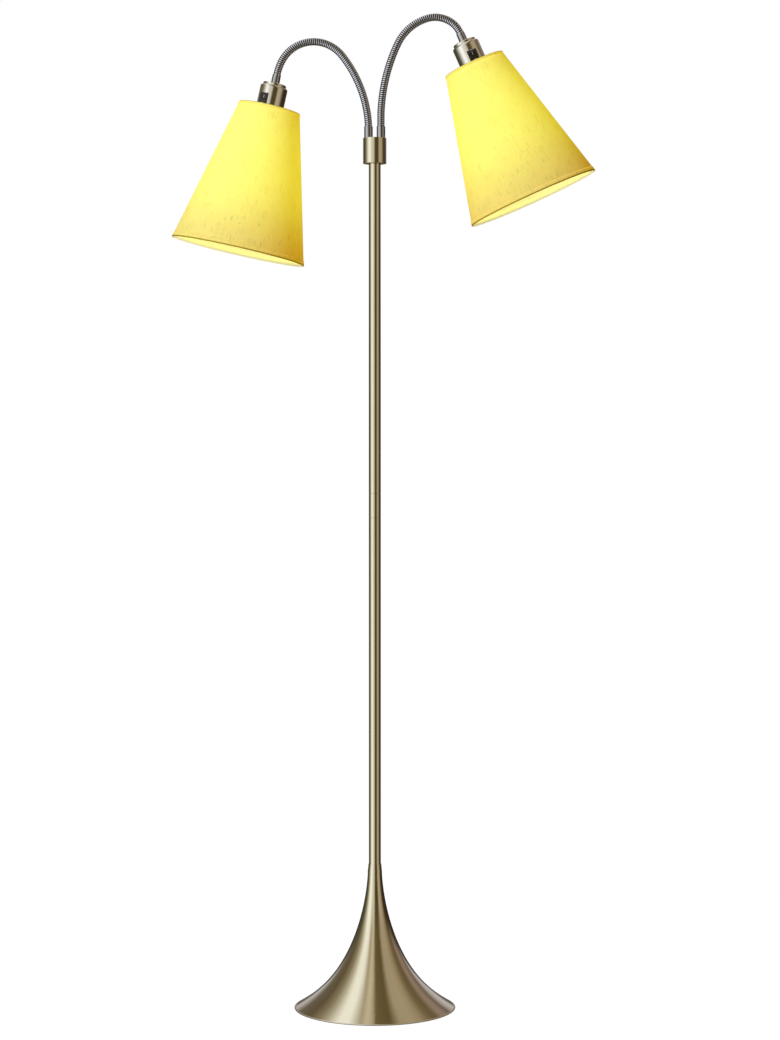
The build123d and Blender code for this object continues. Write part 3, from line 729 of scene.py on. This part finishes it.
# %% Winding helpers
wire_half_width = 0.00128
wire_half_height = 0.00055
winding_pitch = 0.00290
steps_per_turn = 24
wire_sides = 10
core_sides = 24
core_cuts = 60
socket_depth = 0.012
merge_distance = 0.00001


def add_core(form, radius, start, end, sides):
    """A straight tube along +Z with rings enough to bend."""
    shift = Matrix.Translation((0, 0, (start + end) / 2))
    bmesh.ops.create_cone(form, cap_ends=True, segments=sides, radius1=radius, radius2=radius,
                          depth=end - start, matrix=shift)
    long_edges = [e for e in form.edges if abs(e.verts[0].co.z - e.verts[1].co.z) > (end - start) / 2]
    bmesh.ops.subdivide_edges(form, edges=long_edges, cuts=core_cuts, use_grid_fill=True)


def add_winding(form, start, turns, pitch):
    """A flattened wire that climbs round +Z, closed at both ends. One turn is spun, then stacked."""
    one_turn = bmesh.new()
    stand_up = Matrix.Rotation(pi / 2, 4, "X")
    flatten = Matrix.Diagonal((wire_half_height, wire_half_width, 1.0, 1.0))
    place = Matrix.Translation((wire_crest - wire_half_height, 0, start))
    bmesh.ops.create_circle(one_turn, segments=wire_sides, radius=1.0, matrix=place @ stand_up @ flatten)
    bmesh.ops.spin(one_turn, geom=one_turn.verts[:] + one_turn.edges[:], cent=(0, 0, 0), axis=(0, 0, 1),
                   dvec=(0, 0, pitch / steps_per_turn), angle=tau, steps=steps_per_turn, use_merge=False)
    mesh = bpy.data.meshes.new("one_turn")
    winding = bmesh.new()
    for _ in range(turns):
        one_turn.to_mesh(mesh)
        winding.from_mesh(mesh)
        bmesh.ops.translate(one_turn, verts=one_turn.verts[:], vec=(0, 0, pitch))
    one_turn.free()
    bmesh.ops.remove_doubles(winding, verts=winding.verts[:], dist=merge_distance)
    bmesh.ops.holes_fill(winding, edges=[e for e in winding.edges if e.is_boundary], sides=wire_sides)
    bmesh.ops.recalc_face_normals(winding, faces=winding.faces[:])
    winding.to_mesh(mesh)
    winding.free()
    form.from_mesh(mesh)
    bpy.data.meshes.remove(mesh)


def lay_on_arm(form, arm):
    """Bend a form made along +Z onto an arm's line: its height becomes the distance along it."""
    across = Vector((0, 1, 0))
    for vert in form.verts:
        point, heading = arm_at(arm, vert.co.z)
        vert.co = point + across * vert.co.y + across.cross(heading) * vert.co.x


print("wire", 2 * wire_half_width, "m wide, one turn every", winding_pitch, "m")

# %% [markdown]
# The arm bends near each end. One long piece would have to follow two joints at once, so each half is
# a piece of its own, and the two halves meet where nothing bends. The flex in the bore is made the same
# way, and goes on into the collar and into the lampholder.

# %% Gooseneck and flex pieces
bend_reach = 0.110
flex_radius = 0.0022
flex_sides = 16
flex_into_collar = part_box("left_ferrule")[1].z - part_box("left_flex")[0].z
flex_into_head = 0.058


def gooseneck_half(arm, part, start, end):
    """One half of a gooseneck: the core and the winding over it."""
    form = bmesh.new()
    add_core(form, core_radius, start, end, core_sides)
    turns = round((end - start) / winding_pitch)
    add_winding(form, start, turns, (end - start) / turns)
    layer = form.verts.layers.float.new("crest")
    for vert in form.verts:
        vert[layer] = (hypot(vert.co.x, vert.co.y) - core_radius) / (wire_crest - core_radius)
    lay_on_arm(form, arm)
    piece = keep(f"{arm.name}_gooseneck_{part}", form, gooseneck_finish)
    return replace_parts(piece, f"{arm.name}_gooseneck")


def flex_half(arm, part, start, end):
    """One half of the flex inside the gooseneck."""
    form = bmesh.new()
    add_core(form, flex_radius, start, end, flex_sides)
    lay_on_arm(form, arm)
    piece = keep(f"{arm.name}_flex_{part}", form, sheath)
    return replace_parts(piece, f"{arm.name}_flex")


for arm in arms.values():
    middle = arm.length / 2
    lower_ends = (arm_at(arm, 0.0)[0], arm_at(arm, bend_reach)[0])
    upper_ends = (arm_at(arm, arm.length - bend_reach)[0], arm_at(arm, arm.length)[0])
    lower = (gooseneck_half(arm, "lower", -socket_depth, middle),
             flex_half(arm, "lower", -flex_into_collar, middle))
    upper = (gooseneck_half(arm, "upper", middle, arm.length + socket_depth),
             flex_half(arm, "upper", middle, arm.length + flex_into_head))
    for piece in lower:
        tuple(lower_ends[0])
        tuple(lower_ends[1])
        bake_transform(piece)
    for piece in upper:
        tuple(upper_ends[0])
        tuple(upper_ends[1])
        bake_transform(piece)

# %% [markdown]
# ## The shade's fabric
#
# The shades are a slubbed yellow linen weave glued to a pale liner, lit from inside. The map of the
# surface is the flat cut of the cone, so that the threads run straight in it, as they did on the
# cutting table. Short thick places in the yarn and a few dark flecks stop some of the light, less so
# beside the bulb. A light inside the shade would have to shine through cloth and liner, which is slow
# and noisy. How much comes through depends on the distance from the bulb, so the cloth glows by that.

# %% Fabric finish
thread_pitch = 0.00055
bulb_height = -0.1281
glow_near, glow_far = 0.060, 0.170
wander_rate, slub_wander = 55.0, 0.006
weft_scale, weft_limits = (75.0, 520.0, 1.0), (0.62, 0.71)
warp_scale, warp_limits = (480.0, 60.0, 1.0), (0.59, 0.68)
fleck_scale, fleck_limits = (210.0, 340.0, 1.0), (0.745, 0.775)
weft_share = 0.7
dye_cloud_rate = 30.0
slub_dye, fleck_dye = (0.36, 0.25, 0.02), (0.16, 0.08, 0.01)
slub_dye_share, fleck_dye_share = 0.25, 0.5
slub_shade, fleck_shade = (0.46, 0.68, 0.50), (0.20, 0.20, 0.10)
slub_block, slub_block_lost = 0.95, 0.6
fleck_block, fleck_block_lost = 0.8, 0.4
cloud_glow, weave_glow = 0.12, 0.03
cloth_rough, slub_rough = 0.78, 0.12
slub_relief, weave_relief, cloud_relief = 0.6, 0.12, 0.25
relief_depth, relief_strength = 0.0005, 0.6


def slubs(cloth, threads, scale, limits):
    """Thick places in the yarn: noise that is long one way of the cloth and short the other."""
    return cloth.step(cloth.noise(cloth.stretched(threads, scale), 1.0, detail=2.0), *limits)


def glow_from_bulb(cloth, arm):
    """How strongly the bulb lights a place: one beside it, nothing far away."""
    bulb = arm.head @ Vector((0, 0, bulb_height))
    away = cloth.vector("DISTANCE", cloth.place(), bulb, output="Value")
    return 1.0 - cloth.step(away, glow_near, glow_far)


def cloth_finish(name, arm, base_tints, glows):
    """Slubbed linen between two base tints, and with two glows: far from the bulb and beside it."""
    cloth = Finish(name, {"Specular IOR Level": 0.05, "Emission Strength": 1.0})
    threads = cloth.node("TexCoord", output="UV")
    bent = cloth.node("TexNoise", None, {"Vector": threads, "Scale": wander_rate}, output="Color")
    yarn_place = cloth.vector("ADD", threads, cloth.scaled(bent, slub_wander))
    weft = slubs(cloth, yarn_place, weft_scale, weft_limits)
    warp = slubs(cloth, yarn_place, warp_scale, warp_limits)
    flecks = slubs(cloth, yarn_place, fleck_scale, fleck_limits)
    slub = cloth.math("MAXIMUM", weft * weft_share, warp)
    cloud = cloth.noise(threads, dye_cloud_rate, detail=3.0)
    beat = tau / thread_pitch
    across, down = (cloth.axis(threads, axis) * beat for axis in "XY")
    over = cloth.math("SINE", across) * cloth.math("SINE", down)
    yarn = cloth.mix(slub * slub_dye_share, cloth.mix(cloud, *base_tints), slub_dye)
    cloth.surface({"Base Color": cloth.mix(flecks * fleck_dye_share, yarn, fleck_dye)})
    cloth.surface({"Roughness": cloth_rough + slub * slub_rough})
    near = glow_from_bulb(cloth, arm)
    glow = cloth.mix(near, *glows)
    glow = cloth.mix(slub * (slub_block - near * slub_block_lost), glow, slub_shade, "MULTIPLY")
    glow = cloth.mix(flecks * (fleck_block - near * fleck_block_lost), glow, fleck_shade, "MULTIPLY")
    through = 1.0 + (cloud - 0.5) * cloud_glow + over * weave_glow
    cloth.surface({"Emission Color": cloth.scaled(glow, through)})
    relief = slub * slub_relief + over * weave_relief + cloud * cloud_relief
    cloth.bump(relief, relief_depth, relief_strength)
    return cloth


print("weave of", round(0.01 / thread_pitch), "threads to the centimetre")

# %% [markdown]
# The liner is smooth and pale. The bulb's glass shines on it, so it needs only a weak glow of its own,
# with no weave and with a slow cloud in it, where the glue is uneven.

# %% Liner finish
liner_tint, liner_cloud = (0.80, 0.74, 0.38), (0.78, 0.66, 0.30)
liner_glows = (0.80, 0.72, 0.26), (1.0, 0.97, 0.52)
liner_cloud_rate, liner_cloud_share = 40.0, 0.2
liner_strength = 0.52


def liner_finish(arm):
    """The pale liner inside the shade, lit by the bulb."""
    liner = Finish(f"{arm.name}_liner", {"Base Color": liner_tint, "Roughness": 0.55})
    cloud = liner.noise(liner.place(), liner_cloud_rate, detail=3.0)
    glow = liner.mix(glow_from_bulb(liner, arm), *liner_glows)
    liner.surface({"Emission Color": liner.mix(cloud * liner_cloud_share, glow, liner_cloud)})
    liner.surface({"Emission Strength": liner_strength})
    return liner


print("liner glows at", liner_strength)

# %% [markdown]
# ## Shades
#
# A conical shade starts as a flat cut, part of a ring, that is rolled up and glued along a seam at
# the back. A cone from one operator would have no seam, and its map would not be the cut. So here too
# the shade starts as a flat grid, which is rolled onto the cone.

# %% Shade sizes
shade_drop = 0.0368
shade_height = 0.218
shade_top_radius = 0.046
shade_radius = 0.1005
shade_wall = 0.0009
seam_overlap = 0.010
seam_lift = 0.0005
cone = atan2(shade_radius - shade_top_radius, shade_height)
slant_top = shade_top_radius / sin(cone)
slant_bottom = shade_radius / sin(cone)
around, shade_rows = 180, 24
print("flat cut of a shade: from", round(slant_top, 4), "to", round(slant_bottom, 4), "m, over",
      round(360 * sin(cone), 1), "degrees")

# %% Rolling a flat piece onto the cone
def on_cone(slant, proud, turn):
    """A point of a head at a slant distance, an angle, and a distance proud of the cone."""
    radius = slant * sin(cone) + proud * cos(cone)
    height = -shade_drop - (slant - slant_top) * cos(cone) + proud * sin(cone)
    return Vector((radius * cos(turn), radius * sin(turn), height))


def rolled(arm, columns, rows, shape, closed):
    """A grid rolled round a head's axis. shape gives each place its slant, height, turn and map."""
    form = bmesh.new()
    cut = form.loops.layers.uv.new("cut")
    bmesh.ops.create_grid(form, x_segments=columns, y_segments=rows, size=0.5)
    front = arm.head.to_3x3().transposed() @ to_viewer
    facing = atan2(front.y, front.x)
    places = {vert: shape(vert.co.x, 0.5 - vert.co.y) for vert in form.verts}
    for face in form.faces:
        for loop in face.loops:
            loop[cut].uv = places[loop.vert][3]
    for vert, (slant, proud, turn, _) in places.items():
        vert.co = on_cone(slant, proud, turn + facing)
    if closed:
        bmesh.ops.remove_doubles(form, verts=form.verts[:], dist=merge_distance)
    form.transform(arm.head)
    return form


def flat_cut(slant, turn):
    """Where a place of the cone lies on the flat cut."""
    return slant * sin(turn * sin(cone)), slant * cos(turn * sin(cone))


def shade_shape(across, down):
    """The shade: the flat cut rolled once round, with its end glued over its beginning."""
    lap = seam_overlap / shade_radius
    turn = across * (tau + lap)
    slant = slant_top + down * (slant_bottom - slant_top)
    over = min(max((turn - pi + 2 * lap) / lap, 0.0), 1.0)
    return slant, seam_lift * over, turn, flat_cut(slant, turn)


print("a shade is rolled up in", around, "steps")

# %% Shade pieces
linen_dyes = (0.58, 0.43, 0.065), (0.66, 0.49, 0.076)
linen_glows = (0.43, 0.205, 0.0), (0.70, 0.565, 0.025)
for arm in arms.values():
    linen = cloth_finish(f"{arm.name}_linen", arm, linen_dyes, linen_glows)
    arm.liner = liner_finish(arm)
    form = rolled(arm, around, shade_rows, shade_shape, closed=False)
    shade = keep(f"{arm.name}_shade_cloth", form, linen, arm.liner)
    wall = shade.modifiers.new("wall", "SOLIDIFY")
    wall.thickness = shade_wall
    wall.offset = -1.0
    wall.material_offset = 1
    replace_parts(shade, f"{arm.name}_shade")
    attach(shade, f"{arm.name}_head")

# %% [markdown]
# ## Hems
#
# The hems are tapes that fold over the edge and round the wire hoop. A bead along the rim would do from
# afar, but it has no fold. So the tapes are grids rolled like the shade, with a section that goes along
# the outside, round the rim and over the wire. No light gets through the folded edge, and its colour is
# darkened as painted shade, because it faces down. Inside it the tape is as pale as the liner.

# %% Hem sections
hem_height = 0.0065
top_hem_height = 0.0030
tape = 0.0005
lower_wire_inset = 0.0038
top_wire_inset = 0.0024
wire_depth = 0.0029
wire_room = 0.0020
wire_angles = range(-60, 150, 30)
tape_shares = ((-1.0, 0.1), (-1.0, 1.0), (-0.6, 1.1), (-0.2, 1.0))
tail_tuck = 0.2
first_fold_row, last_fold_row = 3, 5
fold_index, liner_index = 1, 2


def hem_section(height, wire_inset):
    """The fold of a hem as places beyond its edge and heights proud of the cone."""
    inside = -shade_wall
    outer = [(along * height, proud * tape) for along, proud in tape_shares]
    # the tape's bend round the edge, a little rounded
    rim = [(0.6 * tape, 0.5 * tape), (tape, inside / 2), (0.7 * tape, inside - tape)]
    over_wire = []
    for angle in map(radians, wire_angles):
        over_wire.append((-wire_inset + wire_room * cos(angle), -wire_depth - wire_room * sin(angle)))
    within = [place for place in over_wire if place[1] < inside]
    tail = (-wire_inset - 2 * wire_room, inside - tail_tuck * tape)
    return outer + rim + within + [tail]


def hem_shape(section, edge, way):
    """A hem rolled round one edge of the shade: way is one at the bottom and minus one at the top."""
    def shape(across, down):
        beyond, proud = section[round(down * (len(section) - 1))]
        turn = across * tau
        return edge + way * beyond, proud, turn, (turn * edge * sin(cone), down * 2 * hem_height)
    return shape


def part_hem_faces(form, rows):
    """Give each row of a hem its finish: tape outside, fold at the edges, liner inside."""
    cut = form.loops.layers.uv["cut"]
    for face in form.faces:
        down = sum(loop[cut].uv.y for loop in face.loops) / len(face.loops) / (2 * hem_height)
        row = int(down * rows)
        if row > last_fold_row:
            face.material_index = liner_index
        elif row >= first_fold_row:
            face.material_index = fold_index


print("the lower hem's section has", len(hem_section(hem_height, lower_wire_inset)), "places")

# %% Hem pieces
tape_glows = (0.45, 0.22, 0.0), (0.62, 0.45, 0.02)
# the fold's darker tints are painted shade on the downward edge of the hem
fold_shade_tints = (0.26, 0.18, 0.012), (0.32, 0.22, 0.016)
fold_glows = (0.17, 0.085, 0.0), (0.30, 0.20, 0.0)
hems = (
    ("top", slant_top, -1, top_hem_height, top_wire_inset),
    ("lower", slant_bottom, 1, hem_height, lower_wire_inset),
)
for arm in arms.values():
    tape_finish = cloth_finish(f"{arm.name}_hem_linen", arm, linen_dyes, tape_glows)
    fold_finish = cloth_finish(f"{arm.name}_hem_fold", arm, fold_shade_tints, fold_glows)
    for part, edge, way, height, wire_inset in hems:
        section = hem_section(height, wire_inset)
        form = rolled(arm, around, len(section) - 1, hem_shape(section, edge, way), closed=True)
        if way < 0:
            bmesh.ops.reverse_faces(form, faces=form.faces[:])
        part_hem_faces(form, len(section) - 1)
        hem = keep(f"{arm.name}_{part}_hem", form, tape_finish, fold_finish, arm.liner)
        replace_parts(hem, f"{arm.name}_shade_hems")
        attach(hem, f"{arm.name}_head")

# %% [markdown]
# ## Bulbs
#
# The bulb itself hides in the shade, and only its light shows. It is opal glass, bright all over and
# a little weaker towards its neck, so the glass glows and a soft light leaves the open mouth.

# %% Bulb finish
opal_tint = (0.92, 0.90, 0.84)
opal_glows = (0.75, 0.60, 0.32), (1.0, 0.90, 0.66)
neck_height, belly_height = -0.075, -0.110
opal_strength = 2.0

for arm in arms.values():
    opal = Finish(f"{arm.name}_opal_glass", {"Base Color": opal_tint, "Roughness": 0.25})
    lit = opal.step(opal.axis(opal.place(arm.head), "Z"), neck_height, belly_height)
    opal.surface({"Emission Color": opal.mix(lit, *opal_glows), "Emission Strength": opal_strength})
    dress(opal, f"{arm.name}_bulb_globe")
print("bulbs lit")
